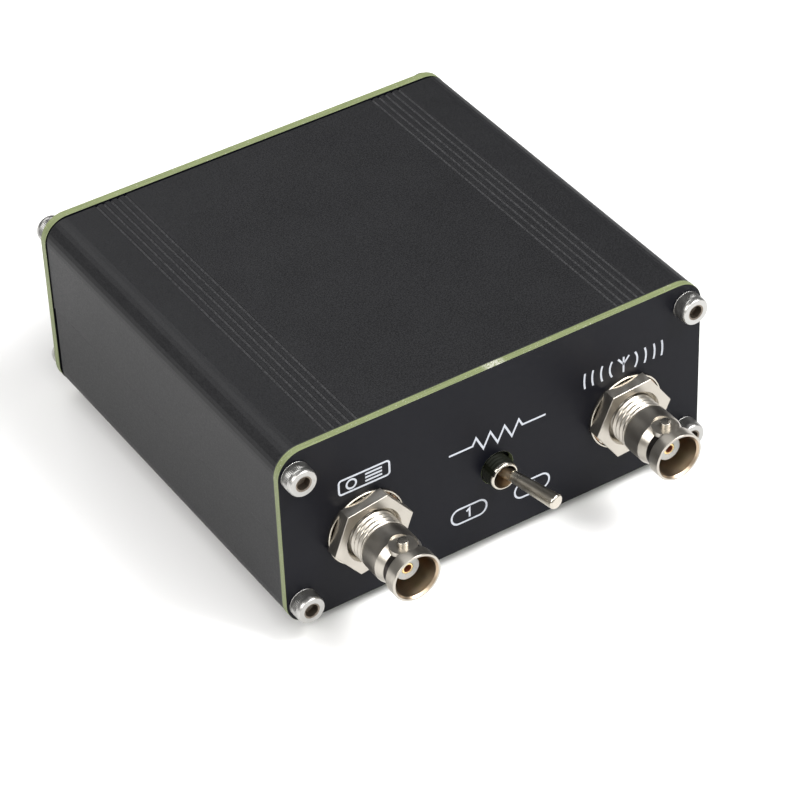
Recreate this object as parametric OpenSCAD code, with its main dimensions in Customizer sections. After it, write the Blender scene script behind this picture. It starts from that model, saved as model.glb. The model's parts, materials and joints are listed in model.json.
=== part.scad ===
// Small antenna tuner: a split extruded aluminium case closed by two circuit-board
// end panels, with two BNC jacks and an impedance toggle switch on the front.
// Millimetres. +Z is up, the front panel faces -Y, the origin is on the table
// under the middle of the whole unit.

/* [Case] */
// Width of the end panels
panel_w = 88; // [84:0.5:100]
// Height of the end panels
panel_h = 38; // [36:0.5:44]
// Thickness of the end panels
panel_t = 1.6; // [1.2:0.1:2]
// Corner radius of the end panels
panel_r = 5; // [4.6:0.1:6]
// Length of the upper case shell
case_len = 80; // [76:1:140]
// Wall thickness of the case shells
wall = 1.8; // [1.6:0.1:2]
// Corner radius of the case shells
case_r = 4.4; // [4:0.1:5]
// How far the shells stay inside the panel outline
case_inset = 0.2; // [0.1:0.05:0.4]
// Gap between the upper shell and the back panel
back_gap = 0.3; // [0.1:0.1:0.6]
// How much shorter the lower shell is than the upper one
lower_short = 0.4; // [0:0.1:0.8]
// Number of grooves in each group
groove_count = 5; // [0:1:8]
// Distance from one groove to the next
groove_pitch = 1.5; // [1.2:0.1:2]
// Distance from the panel edge to the first groove
groove_start = 11; // [9:0.5:14]

/* [Screws and feet] */
// Distance between the screws across the width
screw_dx = 81.4; // [80:0.1:82]
// Distance between the screws in height
screw_dz = 28.6; // [28:0.1:29]
// Length of the screws under the head
screw_len = 10; // [8:1:16]
// Diameter of the rubber feet
foot_d = 10; // [8:0.5:12]
// Height of the rubber feet
foot_h = 3; // [2:0.5:4]
// Distance from the case edges to the middle of the feet
foot_inset = 12; // [10:1:18]

/* [Jacks] */
// Distance between the two jacks
jack_dx = 55; // [50:0.5:58]
// Height of the jack axes above the lower edge of the panel
jack_z = 15.4; // [14:0.1:19]
// Reach of the jacks in front of the panel
jack_reach = 16.4; // [15:0.1:18]
// Outer diameter of the jack barrel
jack_d = 9.6; // [9.6:0.1:9.7]

/* [Toggle switch] */
// Height of the toggle axis above the lower edge of the panel
toggle_z = 15.2; // [14:0.1:18]
// Swing of the lever to each side of the middle
toggle_swing = 12.5; // [8:0.5:13]
// Reach of the lever tip in front of the panel at mid-swing
lever_reach = 14.3; // [12:0.1:15]
// Clearance hole in the front panel
toggle_hole_d = 6.7; // [6.4:0.1:8]

/* [Circuit] */
// Turns on the inductor
coil_turns = 22; // [10:1:24]
// Diameter of the coil wire
coil_wire_d = 0.8; // [0.5:0.1:0.9]

/* [Hidden] */
$fn = 64;

// Colours
c_anodised = "#36363a";
c_mask = "#2e2f34";
c_board = "#27302a";
c_steel = "#c9c6bd";
c_nickel = "#cfcabb";
c_gold = "#d9a93c";
c_ptfe = "#ecebe6";
c_foot = "#dfe6ea";
c_phenolic = "#1f2a36";
c_nylon = "#efeadc";
c_core = "#8d2f22";
c_copper = "#b5622e";
c_mica = "#7a4526";
c_wire = "#2a2a2c";

// Places that the dimensions above lead to
screw_head_d = 5.5;
screw_head_h = 3;
back_panel_in = panel_t + case_len + back_gap;
back_face = back_panel_in + panel_t;
total_depth = jack_reach + back_face + screw_head_h;
front_y = jack_reach - total_depth / 2;
case_w = panel_w - 2 * case_inset;
case_h = panel_h - 2 * case_inset;
panel_z = foot_h - case_inset;
mid_z = panel_h / 2;
inner_w = case_w - 2 * wall;
inner_h = case_h - 2 * wall;
lower_len = case_len - lower_short;
clearance = 0.05;
cut = 1;

// Case section
groove_w = 0.7;
groove_depth = 0.35;
channel_r = 2.7;
screw_d = 2.95;
screw_hole_d = 3.2;
channel_hole_d = 3.02;
lip_t = 0.8;
lip_h = 1.2;
seam_bevel = 0.22;

// Board
board_t = 1.6;
board_lift = 0.05;
board_bottom = (panel_h - screw_dz) / 2 + channel_r + board_lift;
board_top = board_bottom + board_t;
board_w = inner_w - 1;
board_front = 5.2;
board_back = case_len - 2;
rail_w = 2;
rail_h = 1;
rail_gap = 0.2;

// Jack, measured outwards from the front face of the panel
washer_t = 0.6;
washer_r = 7.7;
nut_h = 2.4;
nut_af = 14;
radio_nut_turn = 8.5;
antenna_nut_turn = 4.5;
thread_r = 4.75;
thread_pitch = 1;
thread_depth = 0.35;
thread_end = 6.2;
relief_end = 6.4;
jack_r = jack_d / 2;
thread_turns = 7;
lug_root = 0.1;
bevel_start = 10.6;
bevel_end = 12.3;
ring_start = 13.8;
groove_r = 4.2;
lug_z = jack_reach - 4.2;
lug_r = 1;
lug_top = 5.5;
pocket_r = 2.5;
jack_bore_r = 4.05;
jack_bore_depth = 8.6;
insulator_r = 2.35;
insulator_recess = 2.9;
contact_r = 1.1;
contact_hole_r = 0.68;
flange_r = 7;
flange_t = 2.2;
jack_back = panel_t + flange_t;
tail_r = 3.6;
tail_len = 3;
cup_len = 3;
jack_hole_d = 2 * thread_r + 0.2;
rim_round = 0.2;
ring_edge = 0.2;

// Toggle switch, measured outwards from the front face of the panel; it sits a little
// to the left in its panel hole
toggle_x = -0.3;
pivot_z = -2;
bushing_end = 3;
bushing_r = 2.9;
bushing_tip_r = 2.8;
bushing_mouth_r = 2.3;
keyway_angle = 146;
switch_face = -5.9;
frame_t = 0.4;
case_sx = 12.7;
case_sz = 6.9;
case_depth = 9.4;
ball_r = 1.7;
ball_fit = 0.08;
lever_root_r = 1.1;
lever_tip_r = 1.45;
stem_r = 1.15;
stem_end = 6;
plunger_r = 0.7;
plunger_tip = 7.7;
rocker_z = -10;
rocker_tilt = 8;
rocker_dish = 8;
rocker_len = 7.4;
rocker_w = 2.4;
rocker_t = 0.4;
terminal_dx = 4.7;
terminal_w = 1.1;
terminal_t = 0.7;
terminal_top = -10.3;
terminal_pad = 2.4;
terminal_pad_t = 0.4;
middle_terminal_top = -10.35;
terminal_back = -17.4;
cavity_w = 11.1;
cavity_h = 5.3;
cavity_depth = 6.1;
leg_w = 1.2;
leg_front = -6.6;
arm_len = 3.4;

// Inductor
core_or = 11.95;
core_ir = 7.1;
core_h = 7.9;
core_edge = 0.7;
coil_gap = 0.12;
coil_x = -8;
coil_y = 48;
disc_r = 11;
disc_t = 1;
coil_span = 320;
coil_start = 110;
coil_corner_r = 1.1;
coil_end_reach = 2;
clamp_screw_r = 1.5;
clamp_head_r = 2.75;
clamp_head_h = 2;
clamp_nut_af = 5.5;
clamp_nut_h = 2.4;
lead_hole_r = 0.6;
slot_gap = 0.3;

// Leads and capacitors
lead_below = 0.8;
lead_r = 0.5;
lead_bend_r = 3;
ground_depth = 6.3;
cap_x = 24;
cap_y = [30, 44, 58];
cap_w = 10;
cap_h = 8;
cap_t = 3.6;
cap_lead_r = 0.3;
cap_lead_dx = 6;
cap_lift = 1.5;

// ---------- helpers ----------

// Children stand on the front face of the front panel, local +Z pointing out of it
module on_front(x, z) {
    translate([x, front_y, panel_z + z]) rotate([90, 0, 0]) children();
}

// Children stand on the outer face of the back panel, local +Z pointing out of it
module on_back(x, z) {
    translate([x, front_y + back_face, panel_z + z]) rotate([-90, 0, 0]) children();
}

// Children are placed by depth behind the front face and height above the panel edge
module inside(x, depth, z) {
    translate([x, front_y + depth, panel_z + z]) children();
}

// An outline in X and Z, extruded backwards from a given depth
module along_case(depth, length) {
    translate([0, front_y + depth + length, panel_z + mid_z])
        rotate([90, 0, 0]) linear_extrude(length) children();
}

module rounded_rect(w, h, r) {
    square([w - 2 * r, h], center = true);
    square([w, h - 2 * r], center = true);
    for (sx = [-1, 1], sz = [-1, 1])
        translate([sx * (w / 2 - r), sz * (h / 2 - r)]) circle(r);
}

module hex(af, h) {
    cylinder(d = af / cos(30), h = h, $fn = 6);
}

module at_corners(dx, dz) {
    for (sx = [-1, 1], sz = [-1, 1]) translate([sx * dx / 2, sz * dz / 2]) children();
}

function unit(v) = v / norm(v);

// Direction of a path at point i
function heading(p, i) =
    unit(p[min(i + 1, len(p) - 1)] - p[max(i - 1, 0)]);

// One ring of points around a path; side is any direction that never runs along it
function ring(c, dir, side, r, n) =
    let (u = unit(cross(dir, side)), v = cross(dir, u))
    [for (k = [0 : n - 1]) c + r * (cos(360 * k / n) * u + sin(360 * k / n) * v)];

// A round wire along a path, with one side direction for each point
module wire(path, sides, r, n = 8) {
    rings = [for (i = [0 : len(path) - 1]) each ring(path[i], heading(path, i), sides[i], r, n)];
    last = (len(path) - 1) * n;
    walls = [for (i = [0 : len(path) - 2], k = [0 : n - 1])
        let (a = i * n + k, b = i * n + (k + 1) % n) each [[a, b, b + n], [a, b + n, a + n]]];
    start = [[for (k = [n - 1 : -1 : 0]) k]];
    end = [[for (k = [0 : n - 1]) last + k]];
    polyhedron(rings, concat(walls, start, end), convexity = 10);
}

// ---------- case ----------

module grooves_2d() {
    for (side = [-1, 1], i = [0 : groove_count - 1])
        translate([side * (panel_w / 2 - groove_start - i * groove_pitch), case_h / 2])
            polygon([[-groove_w / 2, cut], [-groove_w / 2, 0], [0, -groove_depth],
                     [groove_w / 2, 0], [groove_w / 2, cut]]);
}

// Upper half of the case section: wall, grooves and screw channels
module half_section() {
    difference() {
        union() {
            difference() {
                rounded_rect(case_w, case_h, case_r);
                rounded_rect(inner_w, inner_h, case_r - wall);
            }
            intersection() {
                at_corners(screw_dx, screw_dz) circle(channel_r);
                rounded_rect(case_w, case_h, case_r);
            }
        }
        at_corners(screw_dx, screw_dz) circle(d = channel_hole_d);
        translate([-panel_w / 2, -panel_h]) square([panel_w, panel_h]);
        if (groove_count > 0) grooves_2d();
        for (side = [-1, 1])
            translate([side * case_w / 2, 0]) rotate(45) square(seam_bevel * sqrt(2), center = true);
    }
}

module lip_2d(extra) {
    for (side = [-1, 1])
        translate([side * (inner_w / 2 + lip_t / 2), -lip_h / 2])
            square([lip_t + extra, lip_h + extra], center = true);
}

module upper_shell() {
    color(c_anodised) along_case(panel_t, case_len) {
        half_section();
        lip_2d(0);
    }
}

module lower_shell() {
    color(c_anodised) along_case(panel_t, lower_len) difference() {
        union() {
            mirror([0, 1]) half_section();
            for (side = [-1, 1])
                translate([side * (inner_w - rail_w + wall) / 2, board_top + rail_gap + rail_h / 2 - mid_z])
                    square([rail_w + wall / 2, rail_h], center = true);
        }
        lip_2d(2 * clearance);
    }
}

module panel_blank(holes_d) {
    linear_extrude(panel_t) difference() {
        rounded_rect(panel_w, panel_h, panel_r);
        at_corners(screw_dx, screw_dz) circle(d = holes_d);
    }
}

module front_panel() {
    color(c_mask) difference() {
        on_front(0, mid_z) translate([0, 0, -panel_t]) panel_blank(screw_hole_d);
        for (side = [-1, 1])
            on_front(side * jack_dx / 2, jack_z)
                translate([0, 0, -panel_t - cut]) cylinder(d = jack_hole_d, h = panel_t + 2 * cut);
        on_front(0, toggle_z)
            translate([0, 0, -panel_t - cut]) cylinder(d = toggle_hole_d, h = panel_t + 2 * cut);
    }
}

module back_panel() {
    color(c_mask) on_back(0, mid_z) translate([0, 0, -panel_t]) panel_blank(screw_hole_d);
}

// Socket head cap screw, head on +Z, seat at 0
module cap_screw() {
    edge = 0.35;
    socket_af = 2.5;
    socket_depth = 1.6;
    difference() {
        rotate_extrude() polygon([
            [0, -screw_len], [screw_d / 2, -screw_len], [screw_d / 2, 0],
            [screw_head_d / 2, 0], [screw_head_d / 2, screw_head_h - edge],
            [screw_head_d / 2 - edge, screw_head_h], [0, screw_head_h]
        ]);
        translate([0, 0, screw_head_h - socket_depth]) hex(socket_af, socket_depth + cut);
    }
}

module front_screws() {
    color(c_steel) on_front(0, mid_z) at_corners(screw_dx, screw_dz) cap_screw();
}

module back_screws() {
    color(c_steel) on_back(0, mid_z) at_corners(screw_dx, screw_dz) cap_screw();
}

// Domed bumper, flat where it rests
module foot() {
    rest_r = foot_d * 0.26;
    centre = (foot_d * foot_d / 4 + foot_h * foot_h - rest_r * rest_r) / (2 * foot_h);
    dome_r = norm([rest_r, centre]);
    rotate_extrude() intersection() {
        translate([0, centre]) circle(dome_r, $fn = 96);
        square([foot_d / 2, foot_h]);
    }
}

module feet() {
    color(c_foot) for (sx = [-1, 1], sy = [0, 1])
        translate([
            sx * (case_w / 2 - foot_inset),
            front_y + panel_t + foot_inset + sy * (lower_len - 2 * foot_inset),
            0
        ]) foot();
}

// ---------- jacks ----------

// Outline points of ring-shaped thread ridges, going up from z0
function ridges(r, z0, count, pitch, depth) = [
    for (i = [0 : count - 1]) each [
        [r - depth, z0 + i * pitch],
        [r, z0 + (i + 0.4) * pitch],
        [r, z0 + (i + 0.6) * pitch]
    ],
    [r - depth, z0 + count * pitch]
];

module jack_body() {
    thread_start = thread_end - thread_turns * thread_pitch;
    cavity_floor = jack_reach - jack_bore_depth;
    difference() {
        rotate_extrude() polygon(concat(
            [
                [insulator_r, -jack_back - tail_len], [tail_r, -jack_back - tail_len],
                [tail_r, -jack_back], [flange_r, -jack_back], [flange_r, -panel_t],
                [thread_r, -panel_t], [thread_r, thread_start - 0.2]
            ],
            ridges(thread_r, thread_start, thread_turns, thread_pitch, thread_depth),
            [
                [thread_r - thread_depth, relief_end],
                [jack_r - rim_round, relief_end], [jack_r, relief_end + rim_round],
                [jack_r, bevel_start], [groove_r, bevel_end], [groove_r, ring_start],
                [jack_r - rim_round, ring_start], [jack_r, ring_start + ring_edge],
                [jack_r, jack_reach - rim_round], [jack_r - rim_round, jack_reach],
                [jack_bore_r + rim_round, jack_reach], [jack_bore_r, jack_reach - rim_round],
                [jack_bore_r, cavity_floor], [insulator_r, cavity_floor]
            ]
        ));
        for (side = [-1, 1])
            translate([0, side * (groove_r + cut), lug_z]) rotate([90, 0, 0])
                cylinder(r = pocket_r, h = 2 * cut, center = true);
    }
    for (side = [0, 1]) rotate(180 * side)
        translate([0, groove_r - lug_root, lug_z]) rotate([-90, 0, 0])
            cylinder(r = lug_r, h = lug_top - groove_r + lug_root);
}

module jack_insulator() {
    tail = 0.8;
    bottom = -jack_back - tail_len - tail;
    difference() {
        union() {
            translate([0, 0, bottom]) cylinder(r = insulator_r, h = jack_reach - insulator_recess - bottom);
            translate([0, 0, bottom]) cylinder(r = tail_r - 0.4, h = tail);
        }
        translate([0, 0, bottom - cut]) cylinder(r = contact_r, h = jack_reach - bottom + 2 * cut);
    }
}

module jack_contact() {
    bottom = -jack_back - tail_len - cup_len;
    top = jack_reach - insulator_recess - clearance;
    hole_depth = 5;
    difference() {
        translate([0, 0, bottom]) cylinder(r = contact_r, h = top - bottom);
        translate([0, 0, top - hole_depth]) cylinder(r = contact_hole_r, h = hole_depth + cut);
        translate([0, 0, bottom - cut]) cylinder(r = contact_hole_r, h = 2.2 + cut);
    }
}

module jack_nut() {
    edge = 0.5;
    flare = 0.45;
    translate([0, 0, washer_t]) difference() {
        intersection() {
            hex(nut_af, nut_h);
            rotate_extrude() polygon([
                [0, 0], [nut_af / 2 + edge, 0], [nut_af / 2 + edge + 0.6, edge * 0.6],
                [nut_af / 2 + edge + 0.6, nut_h - 0.1], [nut_af / 2 + edge + 0.4, nut_h], [0, nut_h]
            ]);
        }
        translate([0, 0, -cut]) cylinder(r = thread_r + clearance, h = nut_h + 2 * cut);
        translate([0, 0, nut_h - flare])
            cylinder(r1 = thread_r + clearance, r2 = thread_r + clearance + flare, h = flare);
    }
}

// Internal-tooth lock washer with a raised outer rim
module jack_washer() {
    teeth = 12;
    tooth_w = 1.4;
    hole_r = thread_r + 0.15;
    root_r = 6.2;
    difference() {
        rotate_extrude() polygon([
            [hole_r, 0], [washer_r, 0], [washer_r, washer_t], [washer_r - 0.45, washer_t],
            [washer_r - 0.8, washer_t * 0.55], [root_r, washer_t * 0.55],
            [root_r, washer_t], [hole_r, washer_t]
        ]);
        for (i = [0 : teeth - 1]) rotate(360 * (i + 0.5) / teeth)
            translate([hole_r - cut, -tooth_w / 2, -cut])
                cube([root_r - hole_r + cut, tooth_w, washer_t + 2 * cut]);
    }
}

module at_radio_jack() {
    on_front(-jack_dx / 2, jack_z) children();
}

module at_antenna_jack() {
    on_front(jack_dx / 2, jack_z) children();
}

module radio_jack_body() { color(c_nickel) at_radio_jack() jack_body(); }
module radio_jack_insulator() { color(c_ptfe) at_radio_jack() jack_insulator(); }
module radio_jack_contact() { color(c_gold) at_radio_jack() jack_contact(); }
module radio_jack_nut() { color(c_nickel) at_radio_jack() rotate(radio_nut_turn) jack_nut(); }
module radio_jack_washer() { color(c_nickel) at_radio_jack() jack_washer(); }
module antenna_jack_body() { color(c_nickel) at_antenna_jack() jack_body(); }
module antenna_jack_insulator() { color(c_ptfe) at_antenna_jack() jack_insulator(); }
module antenna_jack_contact() { color(c_gold) at_antenna_jack() jack_contact(); }
module antenna_jack_nut() { color(c_nickel) at_antenna_jack() rotate(antenna_nut_turn) jack_nut(); }
module antenna_jack_washer() { color(c_nickel) at_antenna_jack() jack_washer(); }

// ---------- toggle switch ----------

// Threaded barrel that holds the ball of the lever
module bushing() {
    turns = 9;
    pitch = 0.75;
    depth = 0.3;
    thread_top = bushing_end - 0.35;
    thread_low = thread_top - turns * pitch;
    collar_r = 3.9;
    collar_top = switch_face + frame_t + 0.6;
    stem_bore_r = 2.2;
    ball_bore_r = ball_r + ball_fit;
    cone_low = 1.08;
    cone_low_r = bushing_mouth_r - (bushing_end - pivot_z - cone_low) * tan(toggle_swing);
    keyway_w = 1;
    keyway_depth = 0.35;
    difference() {
        rotate_extrude() polygon(concat(
            [
                [0, switch_face], [bushing_r, switch_face], [bushing_r, switch_face + frame_t],
                [collar_r, switch_face + frame_t], [collar_r, collar_top],
                [bushing_r, collar_top], [bushing_r, thread_low - 0.1]
            ],
            ridges(bushing_r, thread_low, turns, pitch, depth),
            [[bushing_tip_r, bushing_end - 0.15], [bushing_tip_r - 0.12, bushing_end], [0, bushing_end]]
        ));
        translate([0, 0, switch_face - cut])
            cylinder(r = stem_bore_r, h = pivot_z - 0.6 - switch_face + cut);
        translate([0, 0, pivot_z - 0.7]) cylinder(r = ball_bore_r, h = 0.7);
        translate([0, 0, pivot_z]) sphere(ball_bore_r);
        translate([0, 0, pivot_z + cone_low])
            cylinder(r1 = cone_low_r, r2 = bushing_mouth_r, h = bushing_end - pivot_z - cone_low);
        translate([0, 0, bushing_end - 0.001]) cylinder(r = bushing_mouth_r, h = cut);
        rotate(keyway_angle)
            translate([bushing_r - keyway_depth, -keyway_w / 2, collar_top + 0.5])
                cube([cut, keyway_w, bushing_end - collar_top + cut]);
    }
}

module switch_bushing() {
    color(c_nickel) on_front(toggle_x, toggle_z) bushing();
}

// Steel bracket in front of the switch case, with two legs down into the board
module switch_frame() {
    half = case_sx / 2 + clearance + frame_t;
    leg_top = -case_sz / 2;
    leg_low = board_bottom - lead_below - toggle_z;
    color(c_steel) on_front(toggle_x, toggle_z) {
        difference() {
            translate([-half, -case_sz / 2, switch_face]) cube([2 * half, case_sz, frame_t]);
            translate([0, 0, switch_face - cut]) cylinder(r = bushing_r + clearance, h = frame_t + 2 * cut);
        }
        for (side = [-1, 1]) translate([side * (half - frame_t / 2), 0, 0]) {
            translate([-frame_t / 2, -case_sz / 2, switch_face - arm_len])
                cube([frame_t, case_sz, arm_len + frame_t]);
            translate([-frame_t / 2, leg_low, leg_front - leg_w])
                cube([frame_t, leg_top - leg_low + cut, leg_w]);
        }
    }
}

module terminal_slots(extra) {
    low = switch_face - case_depth - cut;
    for (i = [-1, 0, 1])
        translate([i * terminal_dx - terminal_w / 2 - extra, -terminal_t / 2 - extra, low])
            cube([terminal_w + 2 * extra, terminal_t + 2 * extra, case_depth]);
}

module switch_case() {
    color(c_phenolic) on_front(toggle_x, toggle_z) difference() {
        translate([-case_sx / 2, -case_sz / 2, switch_face - case_depth])
            cube([case_sx, case_sz, case_depth]);
        translate([-cavity_w / 2, -cavity_h / 2, switch_face - cavity_depth])
            cube([cavity_w, cavity_h, cavity_depth + cut]);
        terminal_slots(clearance);
    }
}

// Flat terminals that leave the case at the back and turn down into the board
module switch_terminals() {
    low = board_bottom - lead_below - toggle_z;
    pad_x = terminal_dx + terminal_w / 2 - terminal_pad / 2;
    color(c_steel) on_front(toggle_x, toggle_z) for (i = [-1, 0, 1]) {
        top = i == 0 ? middle_terminal_top : terminal_top;
        translate([i * terminal_dx - terminal_w / 2, 0, 0]) {
            translate([0, -terminal_t / 2, terminal_back])
                cube([terminal_w, terminal_t, top - terminal_back]);
            translate([0, low, terminal_back]) cube([terminal_w, -low, terminal_t]);
        }
        if (i != 0)
            translate([i * pad_x, 0, terminal_top - terminal_pad_t / 2])
                cube([terminal_pad, terminal_t * 2, terminal_pad_t], center = true);
    }
}

// Shallow V that tips over the middle terminal when the lever is thrown
module rocker_contact() {
    color(c_gold) on_front(toggle_x, toggle_z) translate([0, 0, rocker_z]) rotate([0, -rocker_tilt, 0])
        for (side = [0, 180]) rotate(side) rotate([0, -rocker_dish, 0])
            translate([-cut / 10, -rocker_w / 2, -rocker_t / 2]) cube([rocker_len / 2, rocker_w, rocker_t]);
}

// Children stand on the pivot of the lever, in its thrown position
module on_lever() {
    on_front(toggle_x, toggle_z) translate([0, 0, pivot_z]) rotate([0, toggle_swing, 0]) children();
}

module toggle_lever() {
    reach = lever_reach - pivot_z;
    tip_round = 0.55;
    tip_steps = 5;
    neck_end = bushing_end - pivot_z + 0.2;
    bore_r = plunger_r + ball_fit;
    bore_depth = 4.5;
    color(c_nickel) on_lever() difference() {
        union() {
            rotate_extrude() polygon(concat(
                [
                    [0, -stem_end], [stem_r, -stem_end], [stem_r, 0],
                    [lever_root_r, 0], [lever_root_r, neck_end]
                ],
                [for (i = [0 : tip_steps]) let (a = 90 * i / tip_steps)
                    [lever_tip_r - tip_round + tip_round * cos(a), reach - tip_round + tip_round * sin(a)]],
                [[0, reach]]
            ));
            sphere(ball_r);
        }
        translate([0, 0, -stem_end - cut]) cylinder(r = bore_r, h = bore_depth + cut);
    }
}

module lever_spring() {
    turns = 6;
    steps = 10;
    coil_r = 0.52;
    wire_r = 0.11;
    top = -1.7;
    bottom = -4.1;
    path = [for (i = [0 : turns * steps]) let (a = 360 * i / steps)
        [coil_r * cos(a), coil_r * sin(a), bottom + (top - bottom) * i / (turns * steps)]];
    sides = [for (i = [0 : turns * steps]) [0, 0, 1]];
    color(c_steel) on_lever() wire(path, sides, wire_r, 6);
}

module lever_plunger() {
    top = -4.25;
    color(c_nylon) on_lever() translate([0, 0, plunger_r - plunger_tip]) {
        sphere(plunger_r);
        cylinder(r = plunger_r, h = top - plunger_r + plunger_tip);
    }
}

// ---------- board and circuit ----------

coil_mid_r = (core_or + core_ir) / 2;
coil_half_r = (core_or - core_ir) / 2 + coil_gap + coil_wire_d / 2;
coil_half_h = core_h / 2 + coil_gap + coil_wire_d / 2;
coil_mid_z = board_top + disc_t + coil_gap + coil_half_h + coil_wire_d / 2;
coil_top = coil_mid_z + coil_half_h + coil_wire_d / 2 + coil_gap;
coil_out_r = coil_mid_r + coil_half_r;

// Point of the winding: angle around the core, offsets outwards and up
function coil_point(angle, out, up) =
    [(coil_mid_r + out) * cos(angle), (coil_mid_r + out) * sin(angle), coil_mid_z + up];

// Offsets of one turn around the core section, outer lower corner first
function turn_offsets() = let (a = coil_half_r - coil_corner_r, b = coil_half_h - coil_corner_r)
    [for (c = [[1, 1, 0], [-1, 1, 90], [-1, -1, 180], [1, -1, 270]], t = [0, 45, 90])
        [c[0] * a + coil_corner_r * cos(c[2] + t), c[1] * b + coil_corner_r * sin(c[2] + t)]];

function coil_angles() = [for (i = [0 : coil_turns - 1], k = [0 : 11])
    coil_start + coil_span * (i + k / 12) / coil_turns];

function coil_path() = let (
    offsets = turn_offsets(),
    angles = coil_angles(),
    low = board_bottom - lead_below - coil_mid_z,
    final = coil_start + coil_span
) concat(
    [coil_point(coil_start, coil_half_r, low), coil_point(coil_start, coil_half_r, 0)],
    [for (i = [0 : len(angles) - 2]) coil_point(angles[i], offsets[i % 12][0], offsets[i % 12][1])],
    [
        coil_point(final, coil_half_r + coil_end_reach - 0.6, -coil_half_h),
        coil_point(final, coil_half_r + coil_end_reach - 0.15, -coil_half_h - 0.25),
        coil_point(final, coil_half_r + coil_end_reach, -coil_half_h - 0.8),
        coil_point(final, coil_half_r + coil_end_reach, low)
    ]
);

function coil_sides() = let (angles = coil_angles(), final = coil_start + coil_span)
    [for (a = concat([coil_start, coil_start], [for (i = [0 : len(angles) - 2]) angles[i]],
        [final, final, final, final])) [-sin(a), cos(a), 0]];

module inductor_winding() {
    color(c_copper) inside(coil_x, coil_y, 0) wire(coil_path(), coil_sides(), coil_wire_d / 2, 8);
}

module inductor_core() {
    color(c_core) inside(coil_x, coil_y, coil_mid_z) rotate_extrude() polygon([
        [core_ir, -core_h / 2 + core_edge], [core_ir + core_edge, -core_h / 2],
        [core_or - core_edge, -core_h / 2], [core_or, -core_h / 2 + core_edge],
        [core_or, core_h / 2 - core_edge], [core_or - core_edge, core_h / 2],
        [core_ir + core_edge, core_h / 2], [core_ir, core_h / 2 - core_edge]
    ]);
}

module clamp_disc() {
    difference() {
        cylinder(r = disc_r, h = disc_t);
        translate([0, 0, -cut]) cylinder(r = clamp_screw_r + clearance, h = disc_t + 2 * cut);
    }
}

module inductor_spacer() {
    color(c_nylon) inside(coil_x, coil_y, board_top) clamp_disc();
}

module inductor_clamp_washer() {
    color(c_nylon) inside(coil_x, coil_y, coil_top) clamp_disc();
}

module inductor_clamp_screw() {
    slot_w = 0.8;
    slot_depth = 0.9;
    color(c_nylon) inside(coil_x, coil_y, coil_top + disc_t) difference() {
        union() {
            cylinder(r = clamp_head_r, h = clamp_head_h);
            translate([0, 0, board_bottom - clamp_nut_h - coil_top - disc_t])
                cylinder(r = clamp_screw_r, h = coil_top + disc_t - board_bottom + clamp_nut_h + cut);
        }
        translate([-clamp_head_r, -slot_w / 2, clamp_head_h - slot_depth])
            cube([2 * clamp_head_r, slot_w, slot_depth + cut]);
    }
}

module inductor_clamp_nut() {
    color(c_nylon) inside(coil_x, coil_y, board_bottom - clamp_nut_h) difference() {
        hex(clamp_nut_af, clamp_nut_h);
        translate([0, 0, -cut]) cylinder(r = clamp_screw_r + clearance, h = clamp_nut_h + 2 * cut);
    }
}

module matching_capacitors() {
    color(c_mica) for (y = cap_y) inside(cap_x, y, board_top) {
        translate([0, cap_t / 2, cap_lift + cap_h / 2]) rotate([90, 0, 0])
            linear_extrude(cap_t) rounded_rect(cap_w, cap_h, cap_h * 0.3);
        for (side = [-1, 1])
            translate([side * cap_lead_dx / 2, 0, -board_t - lead_below])
                cylinder(r = cap_lead_r, h = board_t + lead_below + cap_lift + cut);
    }
}

// Wire from the back of a jack contact, bent down into the board
module signal_lead(x) {
    start = jack_back + tail_len + 1.2;
    bend = jack_back + tail_len + cup_len + 1.5;
    path = concat(
        [[0, start, jack_z]],
        [for (a = [0 : 15 : 90])
            [0, bend + lead_bend_r * sin(a), jack_z - lead_bend_r * (1 - cos(a))]],
        [[0, bend + lead_bend_r, board_bottom - lead_below]]
    );
    inside(x, 0, 0) wire(path, [for (p = path) [1, 0, 0]], lead_r, 8);
}

module radio_lead() { color(c_wire) signal_lead(-jack_dx / 2); }
module antenna_lead() { color(c_wire) signal_lead(jack_dx / 2); }

module ground_leads() {
    top = jack_z - tail_r - 0.02;
    color(c_steel) for (side = [-1, 1])
        inside(side * jack_dx / 2, ground_depth, board_bottom - lead_below)
            cylinder(r = lead_r, h = top - board_bottom + lead_below);
}

module board_hole(x, depth, r = lead_hole_r) {
    inside(x, depth, board_bottom - cut) cylinder(r = r, h = board_t + 2 * cut);
}

module board_slot(x, depth, w, l) {
    inside(x, depth, board_bottom + board_t / 2) cube([w, l, board_t + 2 * cut], center = true);
}

module main_board() {
    signal_depth = jack_back + tail_len + cup_len + 1.5 + lead_bend_r;
    frame_leg_x = case_sx / 2 + clearance + frame_t / 2;
    coil_end = coil_start + coil_span;
    coil_end_r = coil_out_r + coil_end_reach;
    color(c_board) difference() {
        inside(-board_w / 2, board_front, board_bottom) cube([board_w, board_back - board_front, board_t]);
        for (side = [-1, 1]) {
            board_hole(side * jack_dx / 2, signal_depth);
            board_hole(side * jack_dx / 2, ground_depth);
            board_slot(toggle_x + side * frame_leg_x, leg_w / 2 - leg_front,
                frame_t + slot_gap, leg_w + slot_gap);
        }
        for (i = [-1, 0, 1])
            board_slot(toggle_x + i * terminal_dx, -terminal_back - terminal_t / 2,
                terminal_w + slot_gap, terminal_t + slot_gap);
        board_hole(coil_x, coil_y, clamp_screw_r + clearance);
        board_hole(coil_x + coil_out_r * cos(coil_start), coil_y + coil_out_r * sin(coil_start));
        board_hole(coil_x + coil_end_r * cos(coil_end), coil_y + coil_end_r * sin(coil_end));
        for (y = cap_y, side = [-1, 1]) board_hole(cap_x + side * cap_lead_dx / 2, y);
    }
}

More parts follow.
